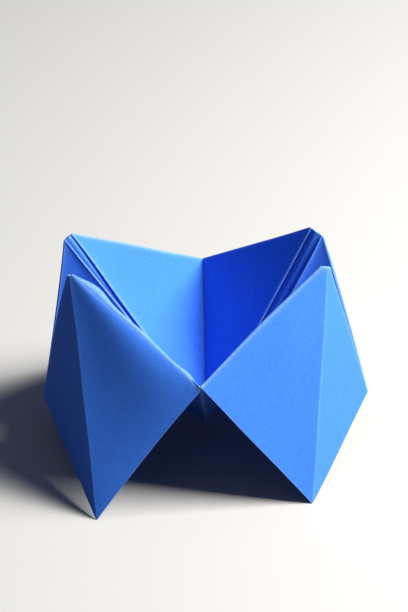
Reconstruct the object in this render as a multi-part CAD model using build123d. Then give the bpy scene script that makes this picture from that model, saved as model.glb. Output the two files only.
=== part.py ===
from build123d import *
import os
from math import acos, atan2, cos, hypot, sin, sqrt, tan
import numpy as np

# Paper fortune teller: one square sheet, folded twice to its centre and opened out.
#
# The sheet's sides are halved twice, so its creases lie on a grid of `cell` = side / 4.
# On the flat sheet, one quarter has these points, and the other three mirror it:
#   C (0, 0)  centre         M (1, 0) and (0, 1)  outer ends of the base's valleys
#   T (1, 1)  tip            E (2, 0) and (0, 2)  middles of the sheet's sides
#   R (2, 2)  raw corner     K (2, 1) and (1, 2)  halfway between E and R
# Round T lie eight half squares, four in each half of the quarter:
#   base (T, M, C), flap (T, M, E), facing (T, K, E) and wall (T, K, R).
# The flap lies on the base, on the mouth's side, and the facing lies on the flap, so E
# rests at C and K at M. The wall goes back over the folded edge T-M and closes a pocket
# for a finger. The part stands on its four raw corners R, with the tips T up. X runs
# across the open mouth. The origin is in the middle of the bounding box's underside.

# Driving sizes, in millimetres
SHEET_SIDE = 150.0        # the square sheet before folding
PAPER_THICKNESS = 0.08
LAYER_GAP = 0.05          # air between two layers that are folded flat on each other
TIP_HALF_SPREAD = 27.4    # a tip from the plane between the left and the right pair
TIP_HALF_PINCH = 7.5      # a tip from the plane between the front and the back pair
TIP_BLUNT = 0.9           # how far below its sharp point a tip is closed
RIDGE_RADIUS = 0.3        # the bends that run down from a tip to C and to R
FLAP_SETBACK = 0.3        # a flap's folded edge from the ridge beside it

# Facets in each kind of bend
FOLD_STEPS = 4
VALLEY_STEPS = 6
RIDGE_STEPS = 2

# A wrap ends with the facing until it has turned so far, as a cosine, and then with the wall
FAR_END_TURN = 0.7

cell = SHEET_SIDE / 4
pitch = PAPER_THICKNESS + LAYER_GAP
fold_radius = pitch / 2           # base to flap, and flap to facing
wrap_radius = 3 * pitch / 2       # facing to wall, round the fold from base to flap
base_valley_radius = 3 * pitch    # leaves room for the flap and the facings inside it
flap_valley_radius = 2 * pitch
CENTRE = Vector(0, 0, 0)


def turned(first, last, steps, bulge=None):
    """Unit vectors that turn from first to last, by way of bulge if that is given."""
    turn = acos(max(-1.0, min(1.0, first.dot(last))))
    side = bulge or last
    side = (side - first * first.dot(side)).normalized()
    return [first * cos(turn * k / steps) + side * sin(turn * k / steps)
            for k in range(steps + 1)]


def between(first, last):
    """The angle between two unit vectors."""
    return acos(first.dot(last))


def mirrored(item, x_sign, y_sign):
    """A vector, or a nest of lists of them, mirrored across x = 0 and y = 0."""
    if isinstance(item, Vector):
        return Vector(item.X * x_sign, item.Y * y_sign, item.Z)
    return [mirrored(entry, x_sign, y_sign) for entry in item]


class MiddleSurface:
    """The sheet's middle surface, as triangles that all face the side that lines the mouth."""

    def __init__(self):
        self.points, self.numbers, self.triangles = [], {}, []

    def number(self, point):
        key = tuple(round(value, 4) + 0.0 for value in point)
        if key not in self.numbers:
            self.numbers[key] = len(self.points)
            self.points.append(point)
        return self.numbers[key]

    def triangle(self, a, b, c, toward):
        corners = [self.number(point) for point in (a, b, c)]
        if len(set(corners)) == 3:
            if (b - a).cross(c - a).dot(toward) < 0:
                corners.reverse()
            self.triangles.append(corners)

    def grid(self, rows, toward):
        """Rows of points, with the direction that the sheet faces at each point."""
        for r in range(len(rows) - 1):
            for k in range(len(rows[r]) - 1):
                a, b, c, d = rows[r][k], rows[r][k + 1], rows[r + 1][k + 1], rows[r + 1][k]
                side = toward[r][k] + toward[r][k + 1] + toward[r + 1][k + 1] + toward[r + 1][k]
                self.triangle(a, b, c, side)
                self.triangle(a, c, d, side)

    def fan(self, middle, outline, toward):
        for point, after in zip(outline, outline[1:] + outline[:1]):
            self.triangle(middle, point, after, toward)

    def flat_patch(self, outline, normal):
        """A flat outline that may fold back beside itself, cut up corner by corner."""
        x_axis = (outline[1] - outline[0]).normalized()
        y_axis = normal.cross(x_axis)
        flat = [((p - outline[0]).dot(x_axis), (p - outline[0]).dot(y_axis)) for p in outline]

        def area(i, j, k):
            (ax, ay), (bx, by), (cx, cy) = flat[i], flat[j], flat[k]
            return (bx - ax) * (cy - ay) - (by - ay) * (cx - ax)

        def longest(i, j, k):
            return max(hypot(flat[p][0] - flat[q][0], flat[p][1] - flat[q][1])
                       for p, q in ((i, j), (j, k), (k, i)))

        left = list(range(len(outline)))
        if sum(area(0, left[n - 1], left[n]) for n in range(2, len(left))) < 0:
            left.reverse()
        while len(left) > 2:
            ears = []
            for n, j in enumerate(left):
                i, k = left[n - 1], left[(n + 1) % len(left)]
                others = [m for m in left if m not in (i, j, k)]
                held = any(min(area(i, j, m), area(j, k, m), area(k, i, m)) >= 0 for m in others)
                if area(i, j, k) > 0 and not held:
                    ears.append((area(i, j, k) / longest(i, j, k) ** 2, i, j, k))
            _, i, j, k = max(ears)
            self.triangle(outline[i], outline[j], outline[k], normal)
            left.remove(j)

    def thickened(self, thickness):
        """A closed solid, half of whose thickness lies on each side of this surface."""
        points = np.array([tuple(point) for point in self.points])
        around = [[] for _ in points]
        for corners in self.triangles:
            a, b, c = points[corners]
            normal = np.cross(b - a, c - a)
            for corner in corners:
                around[corner].append(normal / np.linalg.norm(normal))
        # Each point moves until it lies that far off every triangle that it belongs to.
        steady = 0.02
        shifts = []
        for normals in map(np.array, around):
            damping = steady * len(normals) * np.eye(3)
            pull = normals.sum(axis=0) * (1 + steady)
            shifts.append(np.linalg.solve(normals.T @ normals + damping, pull))
        shifts = np.array(shifts) * thickness / 2
        upper, lower = points + shifts, points - shifts
        skin = [upper[corners] for corners in self.triangles]
        skin += [lower[corners[::-1]] for corners in self.triangles]
        edges = {(corners[k - 1], corners[k]) for corners in self.triangles for k in range(3)}
        for a, b in sorted(edges):
            if (b, a) not in edges:
                skin += [[upper[b], upper[a], lower[a]], [upper[b], lower[a], lower[b]]]
        faces = [Face(Wire.make_polygon([Vector(*p) for p in corners])) for corners in skin]
        return Solid(Shell(faces))


class Bend:
    """A round bend between two parallel lines, each of them a (near end, far end) pair.

    first_side and last_side point from the bend's axis to the two lines. At the tip, `cut`
    ends each of the bend's lines, and `far_cut` may end them on the far side. Without it,
    those ends run evenly from one line's to the other's.
    """

    def __init__(self, first, last, first_side, last_side, radius, steps,
                 cut=None, bulge=None, far_cut=None):
        axis = first[0] - first_side * radius
        direction = (first[1] - first[0]).normalized()
        near = [(line[0] - axis).dot(direction) for line in (first, last)]
        far = [(line[1] - axis).dot(direction) for line in (first, last)]
        self.sides = turned(first_side, last_side, steps, bulge)
        self.near, self.far = [], []
        for k, side in enumerate(self.sides):
            start, share = axis + side * radius, k / steps
            near_end = start + direction * (near[0] * (1 - share) + near[1] * share)
            self.near.append(cut(start, direction) if cut else near_end)
            if far_cut:
                past_fold = side.dot(first_side) < FAR_END_TURN
                far_end = far_cut(start, direction) if past_fold else start + direction * far[0]
            else:
                far_end = start + direction * (far[0] * (1 - share) + far[1] * share)
            self.far.append(far_end)

    def rows(self):
        return [list(pair) for pair in zip(self.near, self.far)]

    def toward(self, sign):
        return [[side * sign] * 2 for side in self.sides]


class Panel:
    """A flat half square, from its tip down to its far side, between two creases.

    One crease is a folded edge that runs `along`, T-M or T-K. The other lies on the
    square's diagonal: its bend starts `setback` before it. `across` points from the first
    crease into the panel, and `faces` is the way that the sheet's mouth side faces.
    """

    def __init__(self, tip, along, across, faces, length, setback, cut):
        self.faces = faces
        ridge_start = tip + (along - across) * (setback / sqrt(2))
        far = tip + along * length
        self.edge = (cut(tip, along), far)
        self.ridge = (cut(ridge_start, (along + across).normalized()),
                      far + across * (length - setback * sqrt(2)))

    def rows(self):
        return [list(self.edge), list(self.ridge)]


def valley_slope(aside, height):
    """Angle above level of the valley between two tips, aside and height from C."""
    return atan2(height, aside) - acos(cell / hypot(height, aside))


class Half:
    """One half of a quarter: the panels and bends that follow the folded edge T-M."""

    def __init__(self, tip, valley_end, corner, mirror_side):
        self.tip = tip
        self.mirror_side = mirror_side        # square to the plane that mirrors this half
        self.along = (valley_end - tip).normalized()
        self.inward = (CENTRE - valley_end).normalized()
        self.down = (corner - valley_end).normalized()
        self.up = self.along.cross(self.inward)
        if self.up.dot(self.down) > 0:
            self.up = self.up * -1
        self.out = self.along.cross(self.down)
        if self.out.dot(self.inward) > 0:
            self.out = self.out * -1

    def cut_at_mirror(self, start, direction):
        """Where a line near the folded edge ends, to stay clear of its mirror image."""
        room = start.dot(self.mirror_side) - pitch / 2
        reach = (start - self.tip).dot(direction)
        return start + direction * min(room / -direction.dot(self.mirror_side), cell - reach)

    def fold(self, opening, base_angle, wall_angle, cut):
        """The panels, given the angles across the valley and across the two ridges."""
        length = cell - base_valley_radius / tan(opening / 2)
        wall_start = self.tip + self.up * fold_radius + self.out * wrap_radius
        wall_offset = (wall_start - self.tip).dot(self.out)
        wall_length = (self.cut_at_mirror(wall_start, self.along) - wall_start).length
        base_setback = RIDGE_RADIUS / tan(base_angle / 2)
        wall_setback = ((RIDGE_RADIUS - wall_offset) / tan(wall_angle / 2)
                        + (wall_start - self.tip).dot(self.down) / sqrt(2))

        def lining(level, faces, setback):
            start = self.tip + self.up * level
            return Panel(start, self.along, self.inward, faces, length, setback, cut)

        self.base = lining(0, self.up, base_setback)
        self.flap = lining(pitch, -self.up, FLAP_SETBACK)
        self.facing = lining(2 * pitch, self.up, FLAP_SETBACK)
        self.wall = Panel(wall_start, self.along, self.down, self.out,
                          wall_length, wall_setback, cut)
        self.panels = [self.base, self.flap, self.facing, self.wall]
        self.edge_fold = Bend(self.base.edge, self.flap.edge, -self.up, self.up,
                              fold_radius, FOLD_STEPS, cut, -self.inward)
        self.flap_fold = Bend(self.flap.ridge, self.facing.ridge, -self.up, self.up,
                              fold_radius, FOLD_STEPS, cut, self.inward - self.along)
        self.wrap = Bend(self.facing.edge, self.wall.edge, self.up, self.out,
                         wrap_radius, FOLD_STEPS, cut, far_cut=self.cut_at_mirror)

    def tip_section(self):
        """The half's points round its closed tip, from the base's ridge to the wall's."""
        return ([self.base.ridge[0]] + self.edge_fold.near + self.flap_fold.near
                + self.wrap.near + [self.wall.ridge[0]])


class Valley:
    """The bends between a half and its mirror image: along the base, and along the flap."""

    def __init__(self, half, x_sign, y_sign):
        self.half = half
        self.inward = half.inward
        self.last_side = mirrored(-half.up, x_sign, y_sign)
        self.mirror = (x_sign, y_sign)
        self.base = self.bend(half.base, base_valley_radius)
        self.flap = self.bend(half.flap, flap_valley_radius)

    def bend(self, panel, radius):
        line = (panel.edge[1], panel.ridge[1])
        return Bend(line, mirrored(line, *self.mirror), -self.half.up, self.last_side,
                    radius, VALLEY_STEPS)

    def profile(self, centre, side, bulge):
        """A half circle between two layers, and the way its points lie from its centre."""
        sides = turned(side, -side, FOLD_STEPS, bulge)
        return [centre + way * fold_radius for way in sides], sides

    def outer_end(self):
        """Where the folded edges T-M of the two halves meet, from the base to the flap."""
        rows, ways = [], []
        for base, flap, side in zip(self.base.near, self.flap.near, self.base.sides):
            row, way = self.profile((base + flap) * 0.5, side, -self.inward)
            rows.append(row)
            ways.append([-w for w in way])
        return rows, ways

    def flap_point(self):
        """Where the flap's two folded edges T-E meet, from the flap to the facings."""
        rows, ways = [], []
        spin = self.inward
        if spin.cross(self.flap.sides[0]).dot(self.half.along) < 0:
            spin = spin * -1
        for k, (flap, side) in enumerate(zip(self.flap.far, self.flap.sides)):
            bulge = self.inward + spin.cross(side) * (2 * k / VALLEY_STEPS - 1)
            row, way = self.profile(flap - side * fold_radius, side, bulge)
            rows.append(row)
            ways.append(way)
        return rows, ways


# The folded state follows from where the tips stand: every crease keeps its length
tip_height = sqrt(2 * cell**2 - TIP_HALF_SPREAD**2 - TIP_HALF_PINCH**2)
side_slope = valley_slope(TIP_HALF_SPREAD, tip_height)
front_slope = valley_slope(TIP_HALF_PINCH, tip_height)
tip = Vector(TIP_HALF_SPREAD, TIP_HALF_PINCH, tip_height)
side_end = Vector(cell * cos(side_slope), 0, cell * sin(side_slope))
front_end = Vector(0, cell * cos(front_slope), cell * sin(front_slope))
hinge_plane = (side_end - tip).cross(front_end - tip).normalized()
corner = hinge_plane * (2 * tip.dot(hinge_plane))      # C mirrored in the plane T, M, M

side_half = Half(tip, side_end, corner, Vector(0, 1, 0))
front_half = Half(tip, front_end, corner, Vector(1, 0, 0))
halves = [side_half, front_half]
tip_up = -sum((half.along for half in halves), (CENTRE - tip).normalized()
              + (corner - tip).normalized()).normalized()


def cut_at_tip(start, direction):
    """Where a line from near the sharp tip meets the plane that the tip is closed in."""
    drop = (start - tip).dot(tip_up) + TIP_BLUNT
    return start - direction * (drop / direction.dot(tip_up))


def ridge_side(half, toward_ridge):
    return (half.along - toward_ridge).normalized()


base_angle = between(*(ridge_side(half, half.inward) for half in halves))
wall_angle = between(*(ridge_side(half, half.down) for half in halves))
side_half.fold(between(-side_half.along, mirrored(-side_half.along, 1, -1)),
               base_angle, wall_angle, cut_at_tip)
front_half.fold(between(-front_half.along, mirrored(-front_half.along, -1, 1)),
                base_angle, wall_angle, cut_at_tip)

base_ridge = Bend(side_half.base.ridge, front_half.base.ridge, side_half.up, front_half.up,
                  RIDGE_RADIUS, RIDGE_STEPS, cut_at_tip)
wall_ridge = Bend(side_half.wall.ridge, front_half.wall.ridge, side_half.out, front_half.out,
                  RIDGE_RADIUS, RIDGE_STEPS, cut_at_tip)
side_valley = Valley(side_half, 1, -1)
front_valley = Valley(front_half, -1, 1)
tip_outline = (side_half.tip_section() + wall_ridge.near[1:-1]
               + front_half.tip_section()[::-1] + base_ridge.near[1:-1][::-1])

quarter = [(panel.rows(), [[panel.faces] * 2] * 2) for half in halves for panel in half.panels]
quarter += [(half.edge_fold.rows(), half.edge_fold.toward(-1)) for half in halves]
quarter += [(bend.rows(), bend.toward(1)) for half in halves for bend in (half.flap_fold, half.wrap)]
quarter += [(bend.rows(), bend.toward(1)) for bend in (base_ridge, wall_ridge)]

sheet = MiddleSurface()
for x_sign, y_sign in ((1, 1), (-1, 1), (-1, -1), (1, -1)):
    for rows, toward in quarter:
        sheet.grid(mirrored(rows, x_sign, y_sign), mirrored(toward, x_sign, y_sign))
    sheet.flat_patch(mirrored(tip_outline, x_sign, y_sign), mirrored(tip_up, x_sign, y_sign))

for valley, signs in ((side_valley, ((1, 1), (-1, 1))), (front_valley, ((1, 1), (1, -1)))):
    for x_sign, y_sign in signs:
        sheet.grid(mirrored(valley.base.rows(), x_sign, y_sign),
                   mirrored(valley.base.toward(-1), x_sign, y_sign))
        sheet.grid(mirrored(valley.flap.rows(), x_sign, y_sign),
                   mirrored(valley.flap.toward(1), x_sign, y_sign))
        sheet.grid(*mirrored(valley.outer_end(), x_sign, y_sign))
        sheet.grid(*mirrored(valley.flap_point(), x_sign, y_sign))

# The base's own centre, where its four valleys and four ridges meet
centre_outline = []
for turn in (1, -1):
    side = base_ridge.far + front_valley.base.far[1:-1]
    side += mirrored(base_ridge.far[::-1] + side_valley.base.far[1:-1], -1, 1)
    centre_outline += mirrored(side, turn, turn)
centre_rise = front_valley.base.far[VALLEY_STEPS // 2].Z
sheet.fan(Vector(0, 0, centre_rise), centre_outline, Vector(0, 0, 1))

folded_sheet = sheet.thickened(PAPER_THICKNESS)
box = folded_sheet.bounding_box()
folded_sheet = Pos(0, 0, -box.min.Z) * folded_sheet

os.makedirs("parts", exist_ok=True)
export_step(folded_sheet, "parts/folded_sheet.step")
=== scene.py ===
from math import acos, atan2, cos, hypot, pi, radians, sin, sqrt, tan
from typing import NamedTuple

import bpy
import numpy as np
from bpy.props import FloatProperty, IntProperty, PointerProperty, StringProperty
from mathutils import Matrix, Vector
from mathutils.geometry import tessellate_polygon


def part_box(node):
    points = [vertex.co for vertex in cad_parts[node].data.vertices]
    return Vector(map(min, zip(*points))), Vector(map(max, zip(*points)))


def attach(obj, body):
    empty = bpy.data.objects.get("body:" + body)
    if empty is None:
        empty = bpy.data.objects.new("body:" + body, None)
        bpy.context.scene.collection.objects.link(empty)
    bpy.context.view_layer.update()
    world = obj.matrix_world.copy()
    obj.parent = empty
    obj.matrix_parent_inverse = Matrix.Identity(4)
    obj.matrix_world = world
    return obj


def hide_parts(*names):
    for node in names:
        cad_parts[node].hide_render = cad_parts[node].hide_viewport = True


bl_info = {
    "name": "Paper Fortune Teller",
    "version": (1, 0, 0),
    "blender": (4, 5, 0),
    "location": "View3D > Sidebar > Fortune Teller",
    "description": "Folds one square of blue paper into a fortune teller that stands open",
    "category": "Add Mesh",
}

# A crease is named by the points it joins on the sheet's quarter: C is the sheet's centre,
# T a tip, M the outer end of a valley, E the middle of a side, R a raw corner, and K lies
# halfway between E and R. Round T lie eight half squares, four in each half of a quarter:
# base (T, M, C), flap (T, M, E), facing (T, K, E) and wall (T, K, R).
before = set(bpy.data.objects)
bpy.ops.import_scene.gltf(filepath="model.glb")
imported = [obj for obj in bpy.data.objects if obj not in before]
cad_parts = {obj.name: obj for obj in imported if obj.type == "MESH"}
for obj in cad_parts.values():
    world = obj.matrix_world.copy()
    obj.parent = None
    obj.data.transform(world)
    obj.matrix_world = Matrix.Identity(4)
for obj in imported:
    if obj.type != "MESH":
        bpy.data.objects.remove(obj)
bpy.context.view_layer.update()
SHEET_NODE = "folded_sheet"
BODY = "root"
MM = 0.001
LOW, HIGH = (np.array(corner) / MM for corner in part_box(SHEET_NODE))


class SheetSettings(bpy.types.PropertyGroup):
    side: FloatProperty(
        name="Sheet side", description="Side of the square before folding",
        default=0.150, unit="LENGTH")
    thickness: FloatProperty(
        name="Thickness", description="Thickness of the paper", default=0.00011, unit="LENGTH")
    pitch: FloatProperty(
        name="Pressed pitch", description="From layer to layer where the folds are pressed flat",
        default=0.00016, unit="LENGTH")
    spread: FloatProperty(
        name="Tip spread", description="A tip from the plane between the left and right pairs",
        default=0.0274, unit="LENGTH")
    pinch: FloatProperty(
        name="Tip pinch", description="A tip from the plane between the front and back pairs",
        default=0.0075, unit="LENGTH")
    ridge: FloatProperty(
        name="Ridge radius", description="Bends that run down from a tip", default=0.00040,
        unit="LENGTH")
    setback: FloatProperty(
        name="Flap setback", description="A flap's folded edge from the ridge beside it, at the centre",
        default=0.00030, unit="LENGTH")
    bow: FloatProperty(
        name="Bow", description="How far the slack paper bows between its creases",
        default=0.00013, unit="LENGTH")
    cuts: IntProperty(
        name="Cuts", description="Steps across each half square of the sheet", default=30, min=8)


class PaperSettings(bpy.types.PropertyGroup):
    deep: StringProperty(
        name="Deep colour", description="sRGB hex colour of the denser fibre clumps", default="#3472D6")
    light: StringProperty(
        name="Light colour", description="sRGB hex colour of the thinner fibre clumps",
        default="#3B7FF0")
    # Painted on folds for worn fibres and painted highlight, and on cut edges as painted highlight
    pale: StringProperty(
        name="Worn colour", description="sRGB hex colour of roughed-up fibres on folds",
        default="#A9CCF8")
    cloud: StringProperty(
        name="Cloud tint", description="sRGB hex colour that multiplies the broad cloudy patches",
        default="#F9FBFD")
    roughness: FloatProperty(
        name="Roughness", description="Roughness of the uncoated paper", default=0.78,
        min=0, max=1, subtype="FACTOR")
    fibre: FloatProperty(
        name="Fibre clump", description="Width of the clumps of fibres in the mottling",
        default=0.00042, unit="LENGTH")


class StageSettings(bpy.types.PropertyGroup):
    floor: StringProperty(
        name="Floor colour", description="sRGB hex colour of the floor", default="#B9B8B5")
    bounce: StringProperty(
        name="Floor bounce", description="sRGB hex colour of the light that the floor throws back",
        default="#6A6A70")
    key: FloatProperty(
        name="Key light", description="Power of the large soft lamp on the right", default=16.5,
        unit="POWER")
    daylight: StringProperty(
        name="Key colour", description="sRGB hex colour of the lamp", default="#FFFDF9")
    sky: StringProperty(
        name="Fill colour", description="sRGB hex colour of the light from all round",
        default="#BCCEFF")
    fill: FloatProperty(
        name="Fill", description="Strength of the light from all round", default=0.135)


def turned(first, last, steps, bulge=None):
    """Unit vectors that turn from first to last, by way of bulge if that is given."""
    turn = acos(max(-1.0, min(1.0, float(first @ last))))
    side = last if bulge is None else bulge
    side = unit(side - first * (first @ side))
    angles = turn * np.arange(steps + 1) / steps
    return [first * cos(angle) + side * sin(angle) for angle in angles]


def unit(vector):
    """The vector at length 1."""
    return vector / np.linalg.norm(vector)


def between(first, last):
    """The angle between two unit vectors."""
    return acos(max(-1.0, min(1.0, float(first @ last))))


def spaced(cuts):
    """Shares from 0 to 1 that crowd towards both ends, where the creases are."""
    return (1 - np.cos(pi * np.arange(cuts + 1) / cuts)) / 2


def row(start, end, shares):
    """Points on a straight line, at these shares of the way along it."""
    return start + (end - start) * shares[:, None]


class Edge(NamedTuple):
    """What handling has done along one pressed edge of a quarter. Lengths are in mm."""

    # Where its layers have sprung apart: share along it, width as a share, extra between layers
    swells: tuple = ((0.5, 0.4, 0.10),)
    # The share of that spring which moves the lining and not the wall
    inner: float = 0.5
    # How far the wall below it bellies out
    belly: float = 0.1
    # How far the raw corner below it keeps from its neighbour's, and how far it has slipped
    room: float = 0.08
    slip: tuple = (0, 0, 0)


class Quarter(NamedTuple):
    """What handling has done to one quarter. Lengths are in mm."""

    # The tip is closed so far below its sharp point, in a plane that leans out from the mouth
    blunt: float
    lean_degrees: float
    # The flaps' folded edges keep so wide of the ridge at the tip. They turn towards it from
    # one share of the way to the centre, and reach it at another
    wide: float
    leave: float
    close: float
    # How far those edges have sprung up, for each layer
    flap_up: float
    side: Edge
    front: Edge


# By the signs of x and y. "front" is the half towards the front or the back.
QUARTERS = {
    (-1, -1): Quarter(
        blunt=0.5, lean_degrees=0, wide=0.4, leave=0.0, close=0.5, flap_up=0.14, side=Edge(),
        front=Edge(swells=((0.14, 0.12, 1.05), (0.90, 0.07, 0.50), (0.5, 0.3, 0.30)),
                   inner=1.0, belly=1.3, room=0.10, slip=(-0.05, 0, -0.75))),
    (1, -1): Quarter(
        blunt=1.2, lean_degrees=0, wide=0.95, leave=0.0, close=0.6, flap_up=0.14,
        side=Edge(swells=((0.5, 0.4, 0.12),), belly=0.15),
        front=Edge(swells=((0.4, 0.35, 0.15),), belly=0.2, room=0.15)),
    (-1, 1): Quarter(
        blunt=1.15, lean_degrees=24, wide=0.95, leave=0.0, close=0.45, flap_up=0.26,
        side=Edge(swells=((0.3, 0.3, 0.04),)), front=Edge()),
    (1, 1): Quarter(
        blunt=1.8, lean_degrees=30, wide=1.5, leave=0.25, close=1.0, flap_up=0.36,
        side=Edge(swells=((0.3, 0.3, 0.20),), belly=0.2), front=Edge()),
}
# Where along the flaps' folded edges they have sprung most, and over what width, as shares
FLAP_SWELL = (0.2, 0.5)
# How pale each place is painted, from 0 to 1: colour lost to wear, and in part painted highlight along
# folds and ridges
WEAR_AND_HIGHLIGHT = {"tip": 0.5, "edge_fold": 0.1, "flap_fold": 0.55, "wrap": 0.40, "wrap_sides": 0.35,
        "facing_ridge": 0.45, "other_ridges": 0.1, "base_ridge": 0.1, "wall_ridge": 0.15,
        "valley": 0.35, "valley_end": 0.8, "flap_corner": 0.6, "centre": 0.2}
# How far that wear and painted highlight reach into a half square, in mm, from its folded edge and its
# ridge
EDGE_WEAR_REACH, RIDGE_WEAR_REACH = 0.25, 0.20
# A rub deepens only wear and painted highlight that are already above the first of these, up to the
# second
RUB_FROM, RUB_GAIN = 0.3, 1.6
# Edges of the skin that turn more than this are shaded as crisp ones
CRISP_FOLD = radians(38)
# Spots that handling has rubbed, as a point of the fold, its quarter and a reach in mm
RUBS = ((("F", -1, -1), 1.6), (("T", 1, 1), 1.5), (("T", 1, -1), 0.9), (("T", -1, 1), 0.9))


class Surface:
    """The sheet's middle surface, in grids that all face the side that lines the mouth."""

    def __init__(self):
        self.grids = []
        self.patches = []

    def grid(self, rows, toward, wear_and_highlight):
        """rows: points [row][column]; toward: the facing there; wear_and_highlight: how pale it is
        painted for wear and painted highlight, 0 to 1.
        """
        rows = np.array(rows)
        toward = np.broadcast_to(np.array(toward), rows.shape)
        wear_and_highlight = np.broadcast_to(np.array(wear_and_highlight, dtype=float), rows.shape[:2])
        self.grids.append((rows, toward, wear_and_highlight))

    def patch(self, outline, toward):
        """outline: points round a flat face, and toward: the way that it faces."""
        self.patches.append((np.array(outline), toward))

    def mesh_data(self):
        """Points, triangles and painted wear and highlight, with equal points merged."""
        points, wears_and_highlights, triangles, sides = [], [], [], []
        count = 0
        for rows, toward, wear_and_highlight in self.grids:
            height, width = rows.shape[:2]
            ids = count + np.arange(height * width).reshape(height, width)
            a, b = ids[:-1, :-1].ravel(), ids[:-1, 1:].ravel()
            c, d = ids[1:, 1:].ravel(), ids[1:, :-1].ravel()
            side = (toward[:-1, :-1] + toward[1:, 1:]).reshape(-1, 3)
            triangles += [np.stack([a, b, c], 1), np.stack([a, c, d], 1)]
            sides += [side, side]
            points.append(rows.reshape(-1, 3))
            wears_and_highlights.append(wear_and_highlight.ravel())
            count += height * width
        for outline, toward in self.patches:
            corners = np.array(tessellate_polygon([[Vector(p) for p in outline]]))
            triangles.append(corners + count)
            sides.append(np.tile(toward, (len(corners), 1)))
            points.append(outline)
            wears_and_highlights.append(np.full(len(outline), WEAR_AND_HIGHLIGHT["tip"]))
            count += len(outline)
        points, wears_and_highlights = np.concatenate(points), np.concatenate(wears_and_highlights)
        triangles, sides = np.concatenate(triangles), np.concatenate(sides)
        _, first, back = np.unique(np.round(points, 4) + 0.0, axis=0, return_index=True,
                                   return_inverse=True)
        back = back.ravel()
        wear_and_highlight = np.zeros(len(first))
        np.maximum.at(wear_and_highlight, back, wears_and_highlights)
        points, triangles = points[first], back[triangles]
        spans = points[triangles]
        normals = np.cross(spans[:, 1] - spans[:, 0], spans[:, 2] - spans[:, 0])
        area = np.linalg.norm(normals, axis=1)
        whole = (area > 1e-9) & (triangles[:, 0] != triangles[:, 1])
        whole &= (triangles[:, 1] != triangles[:, 2]) & (triangles[:, 0] != triangles[:, 2])
        flip = (normals * sides).sum(axis=1) < 0
        triangles[flip] = triangles[flip][:, ::-1]
        return points, triangles[whole], wear_and_highlight


class Panel:
    """A flat half square at a tip. Rows run from the folded edge to the ridge."""

    def __init__(self, tip, along, across, faces, length, setback, cut, shares):
        """setback: the ridge line's distance from the diagonal, one or one for each share."""
        self.faces = faces
        self.diagonal = unit(along + across)
        aside = (along - across) / sqrt(2)
        far = tip + along * length
        self.edge = row(cut(tip, along), far, shares)
        self.ridge = np.array([
            cut(tip + aside * back, self.diagonal) * (1 - share)
            + (far + across * (length - back * sqrt(2))) * share
            for back, share in zip(np.broadcast_to(setback, shares.shape), shares)])
        self.rows = self.edge + (self.ridge - self.edge) * shares[:, None, None]


class Bend:
    """A round bend between two parallel lines of points, with a row for each step of it."""

    # Once it has turned this far, as a cosine, a wrap runs on to the raw edge
    FAR_END_TURN = 0.7

    def __init__(self, first, last, first_side, last_side, radius, steps, shares,
                 cut=None, bulge=None, far_cut=None):
        axis = first[0] - first_side * radius
        direction = unit(first[-1] - first[0])
        near = [(line[0] - axis) @ direction for line in (first, last)]
        far = [(line[-1] - axis) @ direction for line in (first, last)]
        self.sides = turned(first_side, last_side, steps, bulge)
        rows = []
        for k, side in enumerate(self.sides):
            start, share = axis + side * radius, k / steps
            near_end = start + direction * (near[0] * (1 - share) + near[1] * share)
            if cut:
                near_end = cut(start, direction)
            far_end = start + direction * (far[0] * (1 - share) + far[1] * share)
            if far_cut:
                past_fold = side @ first_side < self.FAR_END_TURN
                far_end = far_cut(start, direction) if past_fold else start + direction * far[0]
            rows.append(row(near_end, far_end, shares))
        self.rows = np.array(rows)

    def toward(self, sign):
        """The way that each step faces: out of the bend for 1, into it for -1."""
        return np.array(self.sides)[:, None, :] * sign


def sprung(points, anchors, direction, scale):
    """Points moved off their anchors, square to direction, by scale times what they are."""
    offset = points - anchors
    offset = offset - (offset @ direction)[..., None] * direction
    return points + offset * scale[..., None]


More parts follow.
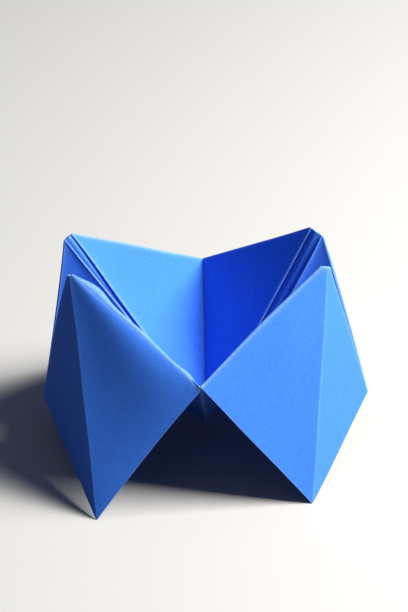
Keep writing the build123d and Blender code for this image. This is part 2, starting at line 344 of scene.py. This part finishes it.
class Folder:
    """Works out the folded sheet, in millimetres, with C at the origin."""

    FOLD_STEPS, VALLEY_STEPS, RIDGE_STEPS = 8, 12, 6
    # Radii in pitches: a fold's, a wrap's, and those of the valleys in the base and the flaps
    FOLD, WRAP, BASE_VALLEY, FLAP_VALLEY = 0.5, 1.5, 3, 2

    def __init__(self, settings):
        self.cell = settings.side / MM / 4
        self.pitch = settings.pitch / MM
        self.ridge_radius = settings.ridge / MM
        self.setback = settings.setback / MM
        self.shares = spaced(settings.cuts)
        aside, pinch = settings.spread / MM, settings.pinch / MM
        height = sqrt(2 * self.cell**2 - aside**2 - pinch**2)
        self.tip = np.array([aside, pinch, height])
        side, front = (self.slope(reach, height) for reach in (aside, pinch))
        self.side_end = self.cell * np.array([cos(side), 0, sin(side)])
        self.front_end = self.cell * np.array([0, cos(front), sin(front)])
        plane = unit(np.cross(self.side_end - self.tip, self.front_end - self.tip))
        self.corner = plane * (2 * self.tip @ plane)
        ends = (self.side_end, self.front_end)
        rays = [unit(end - self.tip) for end in (*ends, self.corner, 0 * self.tip)]
        self.tip_up = -unit(sum(rays))
        self.tip_out = unit(rays[2] - self.tip_up * (rays[2] @ self.tip_up))
        self.blunt, self.tip_plane = 0, self.tip_up

    def slope(self, aside, height):
        """How steeply a valley climbs from the centre, so that its end is one cell from the tip."""
        return atan2(height, aside) - acos(self.cell / hypot(height, aside))

    def place(self, name, x, y):
        """A point of the even fold by its letter, in the quarter with these signs."""
        places = {"T": self.tip, "F": self.front_end, "S": self.side_end, "R": self.corner,
                  "C": np.zeros(3)}
        return places[name] * (x, y, 1)

    def cut(self, start, direction):
        """Where a line from near the sharp tip meets the plane that the tip is closed in."""
        drop = (start - self.tip + self.tip_up * self.blunt) @ self.tip_plane
        return start - direction * (drop / (direction @ self.tip_plane))

    def spring_along(self, swells):
        """How many pitches more an edge's layers stand apart along it, 0 at both of its ends."""
        t = self.shares
        apart = sum(high * np.exp(-((t - place) / width) ** 2) for place, width, high in swells)
        return apart / self.pitch * np.sin(pi * t) ** 0.5

    def half(self, end, mirror_side, angles, quarter, worn):
        """One half of a quarter: its four panels and the bends between them."""
        opening, base_angle, wall_angle = angles
        pitch, tip, shares = self.pitch, self.tip, self.shares
        along, inward, down = unit(end - tip), unit(-end), unit(self.corner - end)
        up, out = np.cross(along, inward), np.cross(along, down)
        up = up if up @ down < 0 else -up
        out = out if out @ inward < 0 else -out
        fold_radius, wrap_radius = self.FOLD * pitch, self.WRAP * pitch

        def mirror_cut(start, direction):
            """Where a line towards the neighbouring quarter stops short of it."""
            reach = (start @ mirror_side - worn.room) / -(direction @ mirror_side)
            return start + direction * min(reach, self.cell - (start - tip) @ direction)

        length = self.cell - self.BASE_VALLEY * pitch / tan(opening / 2)
        wall_start = tip + up * fold_radius + out * wrap_radius
        wall_length = np.linalg.norm(mirror_cut(wall_start, along) - wall_start)
        base_setback = self.ridge_radius / tan(base_angle / 2)
        wall_setback = ((self.ridge_radius - (wall_start - tip) @ out) / tan(wall_angle / 2)
                        + (wall_start - tip) @ down / sqrt(2))

        def lining(level, faces, setback):
            return Panel(tip + up * level, along, inward, faces, length, setback, self.cut, shares)

        # A flap's folded edge runs wide of the ridge near its tip, and closes on it inward
        ease = np.clip((shares - quarter.leave) / (quarter.close - quarter.leave), 0, 1)
        closing = ease**2 * (3 - 2 * ease)
        flap_setback = self.setback + (quarter.wide - self.setback) * (1 - closing)
        base = lining(0, up, base_setback)
        flap = lining(pitch, -up, flap_setback)
        facing = lining(2 * pitch, up, flap_setback)
        wall = Panel(wall_start, along, down, out, wall_length, wall_setback, self.cut, shares)
        edge_fold = Bend(base.edge, flap.edge, -up, up, fold_radius, self.FOLD_STEPS, shares,
                         self.cut, -inward)
        wrap = Bend(facing.edge, wall.edge, up, out, wrap_radius, self.FOLD_STEPS, shares,
                    self.cut, far_cut=mirror_cut)

        # The flap ends a little nearer the tip than the facing, so the fold slides across to it
        flap_centre = (flap.ridge + facing.ridge) / 2
        slide = (facing.ridge - flap.ridge) @ flap.diagonal / 2
        slides = np.linspace(-1, 1, self.FOLD_STEPS + 1)
        flap_ways = turned(-up, up, self.FOLD_STEPS, inward - along)
        flap_fold = np.array([
            flap_centre + way * fold_radius + np.outer(slide * share, flap.diagonal)
            for way, share in zip(flap_ways, slides)])
        for line in flap_fold:
            line[0] = self.cut(line[0], flap.diagonal)

        half = {"base": base, "flap": flap, "facing": facing, "wall": wall, "edge_fold": edge_fold,
                "flap_fold": flap_fold, "flap_ways": flap_ways, "wrap": wrap,
                "along": along, "inward": inward, "up": up, "out": out}
        # The line that the blunt tip cuts through the layers, from the base ridge to the wall's
        half["section"] = [*base.rows[:0:-1, 0], *edge_fold.rows[:, 0], *flap.rows[1:-1, 0],
                           *flap_fold[:, 0], *facing.rows[-2:0:-1, 0], *wrap.rows[:, 0],
                           *wall.rows[1:, 0]]
        half["grids"] = self.sprung_grids(half, quarter, worn)
        return half

    def sprung_grids(self, half, quarter, worn):
        """A half's grids. Its pressed layers spring apart at their folds and meet again inside."""
        base, flap, facing, wall = (half[name] for name in ("base", "flap", "facing", "wall"))
        along, up, pitch, shares = half["along"], half["up"], self.pitch, self.shares
        fold_spring = self.spring_along(worn.swells)
        flap_spring = self.spring_along([(*FLAP_SWELL, quarter.flap_up)])
        # 1 at the folded edge and 0 at the ridge
        edgeward = (1 - shares)[:, None, None]
        layer_spring = fold_spring * edgeward[..., 0] ** 5 + flap_spring * shares[:, None] ** 5

        # What the wall moves off the base is shared out between the wall and the lining
        shift = wall.edge - base.edge
        shift = shift - (shift @ along)[:, None] * along
        spread = shift * fold_spring[:, None]
        to_wall, to_lining = spread * (1 - worn.inner), spread * worn.inner
        slipped = np.array(worn.slip) * shares[:, None] ** 6
        fullest = 0.3
        down_wall = shares / fullest * np.exp(1 - shares / fullest) * (1 - shares)
        along_wall = 1.6 * shares * (1 - shares**3)
        swelling = worn.belly * down_wall[:, None] * along_wall

        lining_move = to_lining * edgeward**3
        base_rows = base.rows - lining_move
        flap_rows = sprung(flap.rows, flap.rows - up * pitch, along, layer_spring) - lining_move
        facing_rows = sprung(facing.rows, facing.rows - up * 2 * pitch, along, layer_spring)
        facing_rows = facing_rows - lining_move + slipped * edgeward**4
        wall_rows = wall.rows + to_wall * edgeward + slipped * edgeward**4
        wall_rows = wall_rows + half["out"] * swelling[..., None]
        edge_rows = sprung(half["edge_fold"].rows, base.edge, along, fold_spring) - to_lining
        wrap_rows = sprung(half["wrap"].rows, base.edge, along, fold_spring)
        wrap_rows = wrap_rows - to_lining + slipped
        flap_fold_rows = sprung(half["flap_fold"], flap.ridge - up * pitch, flap.diagonal,
                                flap_spring)

        from_edge = shares[:, None] * shares * self.cell
        from_ridge = (1 - shares)[:, None] * shares * self.cell / sqrt(2)
        by_edge = WEAR_AND_HIGHLIGHT["wrap_sides"] * np.exp(-from_edge / EDGE_WEAR_REACH)
        by_ridge = np.exp(-from_ridge / RIDGE_WEAR_REACH)
        plain_wear_and_highlight = WEAR_AND_HIGHLIGHT["other_ridges"] * by_ridge
        return [
            (base_rows, base.faces, plain_wear_and_highlight),
            (flap_rows, flap.faces, plain_wear_and_highlight),
            (facing_rows, facing.faces, np.maximum(by_edge, WEAR_AND_HIGHLIGHT["facing_ridge"] * by_ridge)),
            (wall_rows, wall.faces, np.maximum(by_edge, plain_wear_and_highlight)),
            (edge_rows, half["edge_fold"].toward(-1), WEAR_AND_HIGHLIGHT["edge_fold"]),
            (flap_fold_rows, np.array(half["flap_ways"])[:, None, :], WEAR_AND_HIGHLIGHT["flap_fold"]),
            (wrap_rows, half["wrap"].toward(1), WEAR_AND_HIGHLIGHT["wrap"]),
        ]

    def valley(self, half, mirror):
        """The bends along a valley, between a half and its mirror image, as grids."""
        up, inward, pitch, steps = half["up"], half["inward"], self.pitch, self.VALLEY_STEPS
        grids, lines = [], {}
        for name, radius, sign in (("base", self.BASE_VALLEY, -1), ("flap", self.FLAP_VALLEY, 1)):
            line = half[name].rows[:, -1]
            bend = Bend(line, line * mirror, -up, -up * mirror, radius * pitch, steps, self.shares)
            grids.append((bend.rows, bend.toward(sign), WEAR_AND_HIGHLIGHT["valley"]))
            lines[name] = bend
        sides = lines["base"].sides
        fold_radius = self.FOLD * pitch
        # The fold at the valley's outer end, and the one at the flaps' shared inner corner
        outer, outer_ways, point, point_ways = [], [], [], []
        spin = inward if np.cross(inward, sides[0]) @ half["along"] > 0 else -inward
        for k, side in enumerate(sides):
            base, flap = lines["base"].rows[k, 0], lines["flap"].rows[k, 0]
            ways = turned(side, -side, self.FOLD_STEPS, -inward)
            outer.append([(base + flap) / 2 + way * fold_radius for way in ways])
            outer_ways.append([-way for way in ways])
            centre = lines["flap"].rows[k, -1] - side * fold_radius
            bulge = inward + np.cross(spin, side) * (2 * k / steps - 1)
            ways = turned(side, -side, self.FOLD_STEPS, bulge)
            point.append([centre + way * fold_radius for way in ways])
            point_ways.append(ways)
        grids.append((np.array(outer), np.array(outer_ways), WEAR_AND_HIGHLIGHT["valley_end"]))
        grids.append((np.array(point), np.array(point_ways), WEAR_AND_HIGHLIGHT["flap_corner"]))
        return grids, lines["base"].rows[:, -1]

    def fold(self):
        """The whole sheet's middle surface."""
        surface = Surface()
        ends = (self.side_end, self.front_end)
        mirrors = (np.array([1, -1, 1]), np.array([-1, 1, 1]))
        normals = (np.array([0, 1.0, 0]), np.array([1.0, 0, 0]))
        alongs = [unit(end - self.tip) for end in ends]
        base_angle = between(*(unit(a + unit(e)) for a, e in zip(alongs, ends)))
        wall_angle = between(*(unit(a - unit(self.corner - e)) for a, e in zip(alongs, ends)))
        openings = [between(-a, -a * m) for a, m in zip(alongs, mirrors)]
        for signs, quarter in QUARTERS.items():
            flip = np.array([*signs, 1])
            lean = radians(quarter.lean_degrees)
            self.blunt = quarter.blunt
            self.tip_plane = self.tip_up * cos(lean) + self.tip_out * sin(lean)
            side, front = (
                self.half(end, normal, (opening, base_angle, wall_angle), quarter, worn)
                for end, normal, opening, worn
                in zip(ends, normals, openings, (quarter.side, quarter.front)))
            radius, steps = self.ridge_radius, self.RIDGE_STEPS
            base_ridge = Bend(side["base"].ridge, front["base"].ridge, side["up"], front["up"],
                              radius, steps, self.shares, self.cut)
            wall_ridge = Bend(side["wall"].ridge, front["wall"].ridge, side["out"], front["out"],
                              radius, steps, self.shares, self.cut)
            grids = side["grids"] + front["grids"]
            grids.append((base_ridge.rows, base_ridge.toward(1), WEAR_AND_HIGHLIGHT["base_ridge"]))
            grids.append((wall_ridge.rows, wall_ridge.toward(1), WEAR_AND_HIGHLIGHT["wall_ridge"]))
            for rows, toward, wear_and_highlight in grids:
                surface.grid(rows * flip, toward * flip, wear_and_highlight)
            outline = (side["section"] + list(wall_ridge.rows[1:-1, 0])
                       + front["section"][::-1] + list(base_ridge.rows[1:-1, 0])[::-1])
            surface.patch(np.array(outline) * flip, self.tip_plane * flip)
        # All quarters are alike at the valleys, so the last one's halves serve for each of them
        ring_parts = {}
        for name, half, mirror, turns in (("side", side, mirrors[0], ((1, 1), (-1, 1))),
                                          ("front", front, mirrors[1], ((1, 1), (1, -1)))):
            grids, ring_parts[name] = self.valley(half, mirror)
            for signs in turns:
                flip = np.array([*signs, 1])
                for rows, toward, wear_and_highlight in grids:
                    surface.grid(rows * flip, toward * flip, wear_and_highlight)
        # The bends' inner ends make a ring round the sheet's centre, which a fan closes
        ring = []
        for turn in (1, -1):
            left = np.array([-1, 1, 1])
            quarter = list(base_ridge.rows[:, -1]) + list(ring_parts["front"][1:-1])
            quarter += [p * left for p in base_ridge.rows[::-1, -1]]
            quarter += [p * left for p in ring_parts["side"][1:-1]]
            ring += [p * np.array([turn, turn, 1]) for p in quarter]
        middle = np.array([0, 0, ring_parts["front"][self.VALLEY_STEPS // 2][2]])
        ring = np.array(ring + [ring[0]])
        surface.grid(np.stack([ring, np.tile(middle, (len(ring), 1))]), (0, 0, 1), WEAR_AND_HIGHLIGHT["centre"])
        return surface


def thickened(points, triangles, wear_and_highlight, thickness):
    """A closed skin, half of whose thickness lies on each side of the middle surface."""
    spans = points[triangles]
    normals = np.cross(spans[:, 1] - spans[:, 0], spans[:, 2] - spans[:, 0])
    normals /= np.linalg.norm(normals, axis=1)[:, None]
    # Each point moves until it lies that far off every triangle that it belongs to. A little
    # steadying keeps that solvable where they all face one way
    steady = 0.05
    spread = np.zeros((len(points), 3, 3))
    pull = np.zeros((len(points), 3))
    uses = np.zeros(len(points))
    for corner in range(3):
        np.add.at(spread, triangles[:, corner], normals[:, :, None] * normals[:, None, :])
        np.add.at(pull, triangles[:, corner], normals)
        np.add.at(uses, triangles[:, corner], 1)
    spread += steady * uses[:, None, None] * np.eye(3)
    shifts = np.linalg.solve(spread, (pull * (1 + steady))[..., None])[..., 0] * thickness / 2
    count = len(points)
    edges = np.concatenate([triangles[:, [0, 1]], triangles[:, [1, 2]], triangles[:, [2, 0]]])
    known = {tuple(edge) for edge in edges}
    rims = np.array([edge for edge in edges if (edge[1], edge[0]) not in known])
    a, b = rims[:, 0], rims[:, 1]
    faces = np.concatenate([triangles, triangles[:, ::-1] + count,
                            np.stack([b, a, a + count], 1), np.stack([b, a + count, b + count], 1)])
    # The cut edge of the sheet, which the paper's material paints pale as a painted highlight
    raw = np.zeros(count)
    raw[np.unique(rims)] = 1
    both = np.concatenate([points + shifts, points - shifts])
    return both, faces, np.tile(wear_and_highlight, 2), np.tile(raw, 2)


# How this sheet was pulled about by hand: where its points stand, off the even fold, in mm
PULLS = (
    (("T", -1, -1), (-0.1, -0.7, 0.3)), (("T", 1, -1), (1.1, 0.35, 0.25)),
    (("T", -1, 1), (-1.9, 0.9, 1.2)), (("T", 1, 1), (-0.45, -0.15, 1.45)),
    (("F", 1, -1), (0.25, -1.0, -0.8)), (("F", 1, 1), (0.25, 1.2, 0.6)),
    (("S", -1, 1), (0.0, -0.1, -0.2)), (("S", 1, 1), (0.4, -0.6, -2.0)),
    (("R", -1, -1), (0.2, -2.0, 0.0)), (("R", 1, -1), (-0.3, 1.6, 0.0)),
    (("R", -1, 1), (0.2, 0.1, 0.0)), (("R", 1, 1), (-0.1, 0.0, 0.0)),
    (("C", 1, 1), (-0.2, 0.4, 0.0)),
)


def pulled(points, folder):
    """The even fold, warped so that its points stand where hands have left them."""
    pins = np.array([folder.place(*where) for where, _ in PULLS])
    moves = np.array([move for _, move in PULLS])
    count = len(pins)
    system = np.zeros((count + 4, count + 4))
    system[:count, :count] = np.linalg.norm(pins[:, None] - pins[None], axis=2)
    system[:count, count] = system[count, :count] = 1
    system[:count, count + 1:] = pins
    system[count + 1:, :count] = pins.T
    system[np.arange(count, count + 4), np.arange(count, count + 4)] += 1e-9
    weights = np.linalg.solve(system, np.vstack([moves, np.zeros((4, 3))]))
    reach = np.linalg.norm(points[:, None] - pins[None], axis=2)
    return points + reach @ weights[:count] + weights[count] + points @ weights[count + 1:]


# The bow of slack paper, as long waves: turns for each mm in radians, phase, and way pushed
WAVES = (
    ((0.21, 0.13, 0.09), 0.4, (0.5, 0.8, 0.1)), ((-0.11, 0.19, 0.17), 2.1, (0.9, -0.3, 0.2)),
    ((0.05, -0.27, 0.21), 4.0, (0.2, 0.7, -0.4)), ((0.31, 0.07, -0.15), 5.2, (-0.4, 0.4, 0.5)),
)


def bowed(points, amount):
    """Long, slight waves that leave the layers lying together."""
    shift = np.zeros_like(points)
    for way, phase, push in WAVES:
        shift += np.sin(points @ np.array(way) + phase)[:, None] * np.array(push)
    return points + shift * amount / 2


def linear(colour):
    """The linear value of an sRGB hex colour."""
    values = [int(colour[k:k + 2], 16) / 255 for k in (1, 3, 5)]
    lit = [v / 12.92 if v <= 0.04045 else ((v + 0.055) / 1.055) ** 2.4 for v in values]
    return (*lit, 1)


def add_node(tree, kind, settings=None, links=None):
    """A node with its settings, and the sockets that feed it, by input name or number."""
    node = tree.nodes.new(kind)
    for name, value in (settings or {}).items():
        if isinstance(name, str) and hasattr(node, name):
            setattr(node, name, value)
        else:
            node.inputs[name].default_value = value
    for name, socket in (links or {}).items():
        tree.links.new(socket, node.inputs[name])
    return node


def ramp(tree, source, low, high):
    """0 where the source is low, 1 where it is high, and smooth between."""
    node = add_node(tree, "ShaderNodeMapRange",
                    {"From Min": low, "From Max": high, "interpolation_type": "SMOOTHSTEP"},
                    {"Value": source})
    return node.outputs["Result"]


def dyed_paper(settings):
    """Uncoated, mass-dyed craft paper: matt and faintly mottled, painted pale on its folds for rubbed
    fibres and painted highlight.
    """
    # Its pulp was dyed before the sheet was made, so it is the same blue all through, with no
    # glaze. That gives the eye an even, matt, slightly clouded colour. Along a fold it is painted
    # paler, partly for roughed-up fibres and partly as a painted highlight.
    material = bpy.data.materials.new("dyed_craft_paper")
    material.use_nodes = True
    tree = material.node_tree
    shader = tree.nodes["Principled BSDF"]
    for socket, value in (("Roughness", settings.roughness), ("IOR", 1.45),
                          ("Specular IOR Level", 0.25), ("Sheen Weight", 0.06)):
        shader.inputs[socket].default_value = value
    place = add_node(tree, "ShaderNodeTexCoord").outputs["Object"]
    # A fibre is about 0.03 mm wide, too fine to show, so clumps of them are drawn instead
    clump = 1 / settings.fibre
    mottle = add_node(tree, "ShaderNodeTexNoise", {"Scale": clump, "Detail": 5, "Roughness": 0.7},
                      {"Vector": place}).outputs["Fac"]
    cloud = add_node(tree, "ShaderNodeTexNoise", {"Scale": clump / 9, "Detail": 3},
                     {"Vector": place}).outputs["Fac"]
    fibres = add_node(tree, "ShaderNodeTexNoise", {"Scale": clump * 0.8, "Detail": 5, "Distortion": 0.4},
                      {"Vector": place}).outputs["Fac"]
    wear_and_highlight = add_node(tree, "ShaderNodeAttribute", {"attribute_name": "fold_wear_and_highlight"}).outputs["Fac"]
    raw = add_node(tree, "ShaderNodeAttribute", {"attribute_name": "raw_edge"}).outputs["Fac"]
    tone = add_node(tree, "ShaderNodeMix", {"data_type": "RGBA"},
                    {"Factor": ramp(tree, mottle, 0.32, 0.68)})
    tone.inputs[6].default_value = linear(settings.deep)
    tone.inputs[7].default_value = linear(settings.light)
    cloudy = add_node(tree, "ShaderNodeMix", {"data_type": "RGBA", "blend_type": "MULTIPLY"},
                      {"Factor": ramp(tree, cloud, 0.35, 0.7), 6: tone.outputs[2]})
    cloudy.inputs[7].default_value = linear(settings.cloud)
    # Rubbed fibres and the painted highlight along a fold break up, so the mark shows most where the
    # noise is high
    fold_mark_breakup = add_node(tree, "ShaderNodeMath", {"operation": "MULTIPLY_ADD", 1: 0.35, 2: 0.45},
                    {0: ramp(tree, fibres, 0.40, 0.66)})
    rubbed_and_highlit = add_node(tree, "ShaderNodeMath", {"operation": "MULTIPLY", "use_clamp": True},
                      {0: wear_and_highlight, 1: fold_mark_breakup.outputs[0]})
    # Mixes in the pale colour by that mark: worn fibres and painted highlight on the folds
    worn = add_node(tree, "ShaderNodeMix", {"data_type": "RGBA"},
                    {"Factor": rubbed_and_highlit.outputs[0], 6: cloudy.outputs[2]})
    worn.inputs[7].default_value = linear(settings.pale)
    # A cut edge is painted paler too: a painted highlight where the fibres' loose ends catch the light
    edge_highlight_share = add_node(tree, "ShaderNodeMath", {"operation": "MULTIPLY", 1: 0.45}, {0: raw})
    edge_highlighted = add_node(tree, "ShaderNodeMix", {"data_type": "RGBA"},
                     {"Factor": edge_highlight_share.outputs[0], 6: worn.outputs[2]})
    edge_highlighted.inputs[7].default_value = linear(settings.pale)
    tree.links.new(edge_highlighted.outputs[2], shader.inputs["Base Color"])
    tooth = add_node(tree, "ShaderNodeBump", {"Strength": 0.15, "Distance": 0.00003},
                     {"Height": mottle})
    tree.links.new(tooth.outputs["Normal"], shader.inputs["Normal"])
    return material


class FORTUNE_OT_fold_sheet(bpy.types.Operator):
    """Fold the square sheet and stand it open on its raw corners"""

    bl_idname = "fortune.fold_sheet"
    bl_label = "Fold sheet"

    def execute(self, context):
        settings = context.scene.fortune_sheet
        folder = Folder(settings)
        points, triangles, wear_and_highlight = folder.fold().mesh_data()
        for where, reach in RUBS:
            near = np.exp(-(np.linalg.norm(points - folder.place(*where), axis=1) / reach) ** 2)
            wear_and_highlight = np.maximum(wear_and_highlight, near * (wear_and_highlight > RUB_FROM) * RUB_GAIN)
        points = bowed(pulled(points, folder), settings.bow / MM)
        points, faces, wear_and_highlight, raw = thickened(points, triangles, wear_and_highlight, settings.thickness / MM)
        points[:, 2] += LOW[2] - points[:, 2].min()
        mesh = bpy.data.meshes.new("blue_folded_sheet")
        mesh.from_pydata((points * MM).tolist(), [], faces.tolist())
        for name, values in (("fold_wear_and_highlight", wear_and_highlight), ("raw_edge", raw)):
            layer = mesh.attributes.new(name, "FLOAT", "POINT")
            layer.data.foreach_set("value", values.astype(np.float32))
        mesh.materials.append(dyed_paper(context.scene.fortune_paper))
        mesh.shade_smooth()
        mesh.set_sharp_from_angle(angle=CRISP_FOLD)
        sheet = bpy.data.objects.new("blue_folded_sheet", mesh)
        context.scene.collection.objects.link(sheet)
        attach(sheet, BODY)
        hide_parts(SHEET_NODE)
        return {"FINISHED"}


# The lamp, by its way from the part's middle, its distance from there and its width, in metres
LAMP_WAY, LAMP_AWAY, LAMP_WIDTH = (0.735, -0.035, 0.68), 0.75, 0.35
# The camera: a long lens, which stands here above the floor, in metres, and is swung to the
# left, dropped and rolled by these degrees
EYE, TURNS = (0.01853, -0.48005, 0.30979), (-2.1, 30.05, -3.05)
LENS_MM, SENSOR_MM = 147.06, 36
FLOOR_REACH, FLOOR_ROUGHNESS = 3.0, 0.9


class FORTUNE_OT_build_stage(bpy.types.Operator):
    """Add the pale floor, the soft light from the right and the camera"""

    bl_idname = "fortune.build_stage"
    bl_label = "Build stage"

    def execute(self, context):
        settings = context.scene.fortune_stage
        scene = context.scene
        ground = LOW[2] * MM
        floor_mesh = bpy.data.meshes.new("floor")
        corners = [(x * FLOOR_REACH, y * FLOOR_REACH, ground)
                   for x, y in ((-1, -1), (1, -1), (1, 1), (-1, 1))]
        floor_mesh.from_pydata(corners, [], [(0, 1, 2, 3)])
        floor = bpy.data.objects.new("floor", floor_mesh)
        scene.collection.objects.link(floor)
        # Rolled matt paint: even, with no gloss, so that it holds the part's soft shadow
        matt = bpy.data.materials.new("matt_floor_paint")
        matt.use_nodes = True
        shader = matt.node_tree.nodes["Principled BSDF"]
        shader.inputs["Roughness"].default_value = FLOOR_ROUGHNESS
        # Pale to the camera, but it throws back no more light than a wooden table would
        seen = add_node(matt.node_tree, "ShaderNodeLightPath").outputs["Is Camera Ray"]
        paint = add_node(matt.node_tree, "ShaderNodeMix", {"data_type": "RGBA"}, {"Factor": seen})
        paint.inputs[6].default_value = linear(settings.bounce)
        paint.inputs[7].default_value = linear(settings.floor)
        matt.node_tree.links.new(paint.outputs[2], shader.inputs["Base Color"])
        floor_mesh.materials.append(matt)

        world = bpy.data.worlds.new("soft_room")
        world.use_nodes = True
        sky = world.node_tree.nodes["Background"]
        sky.inputs["Color"].default_value = linear(settings.sky)
        sky.inputs["Strength"].default_value = settings.fill
        scene.world = world
        scene.view_settings.view_transform = "Standard"

        middle = Vector((0, 0, (LOW[2] + HIGH[2]) / 2 * MM))
        light = bpy.data.lights.new("window_right", "AREA")
        light.size, light.energy = LAMP_WIDTH, settings.key
        light.color = linear(settings.daylight)[:3]
        lamp = bpy.data.objects.new("window_right", light)
        away = Vector(LAMP_WAY).normalized()
        lamp.location = middle + away * LAMP_AWAY
        lamp.rotation_euler = away.to_track_quat("Z", "Y").to_euler()
        scene.collection.objects.link(lamp)

        swing, drop, roll = (radians(turn) for turn in TURNS)
        ahead = Vector((sin(swing) * cos(drop), cos(swing) * cos(drop), -sin(drop)))
        right = Vector((cos(swing), -sin(swing), 0))
        above = right.cross(ahead)
        x_axis = right * cos(roll) + above * sin(roll)
        y_axis = above * cos(roll) - right * sin(roll)
        data = bpy.data.cameras.new("camera")
        data.lens, data.sensor_width = LENS_MM, SENSOR_MM
        camera = bpy.data.objects.new("camera", data)
        turn = Matrix((x_axis, y_axis, -ahead)).transposed().to_4x4()
        place = Vector(EYE) + Vector((0, 0, ground))
        camera.matrix_world = Matrix.Translation(place) @ turn
        scene.collection.objects.link(camera)
        scene.camera = camera
        return {"FINISHED"}


class FORTUNE_PT_sidebar(bpy.types.Panel):
    """The sheet's, paper's and stage's settings, and the operators that use them"""

    bl_label = "Fortune Teller"
    bl_idname = "FORTUNE_PT_sidebar"
    bl_space_type = "VIEW_3D"
    bl_region_type = "UI"
    bl_category = "Fortune Teller"

    def draw(self, context):
        layout = self.layout
        for group in (context.scene.fortune_sheet, context.scene.fortune_paper,
                      context.scene.fortune_stage):
            for name in group.__annotations__:
                layout.prop(group, name)
        for operator in (FORTUNE_OT_fold_sheet, FORTUNE_OT_build_stage):
            layout.operator(operator.bl_idname)


CLASSES = (SheetSettings, PaperSettings, StageSettings, FORTUNE_OT_fold_sheet,
           FORTUNE_OT_build_stage, FORTUNE_PT_sidebar)


def register():
    for entry in CLASSES:
        bpy.utils.register_class(entry)
    bpy.types.Scene.fortune_sheet = PointerProperty(type=SheetSettings)
    bpy.types.Scene.fortune_paper = PointerProperty(type=PaperSettings)
    bpy.types.Scene.fortune_stage = PointerProperty(type=StageSettings)


def unregister():
    for name in ("fortune_stage", "fortune_paper", "fortune_sheet"):
        delattr(bpy.types.Scene, name)
    for entry in reversed(CLASSES):
        bpy.utils.unregister_class(entry)


def main():
    register()
    bpy.ops.fortune.fold_sheet()
    bpy.ops.fortune.build_stage()


if __name__ == "__main__":
    main()
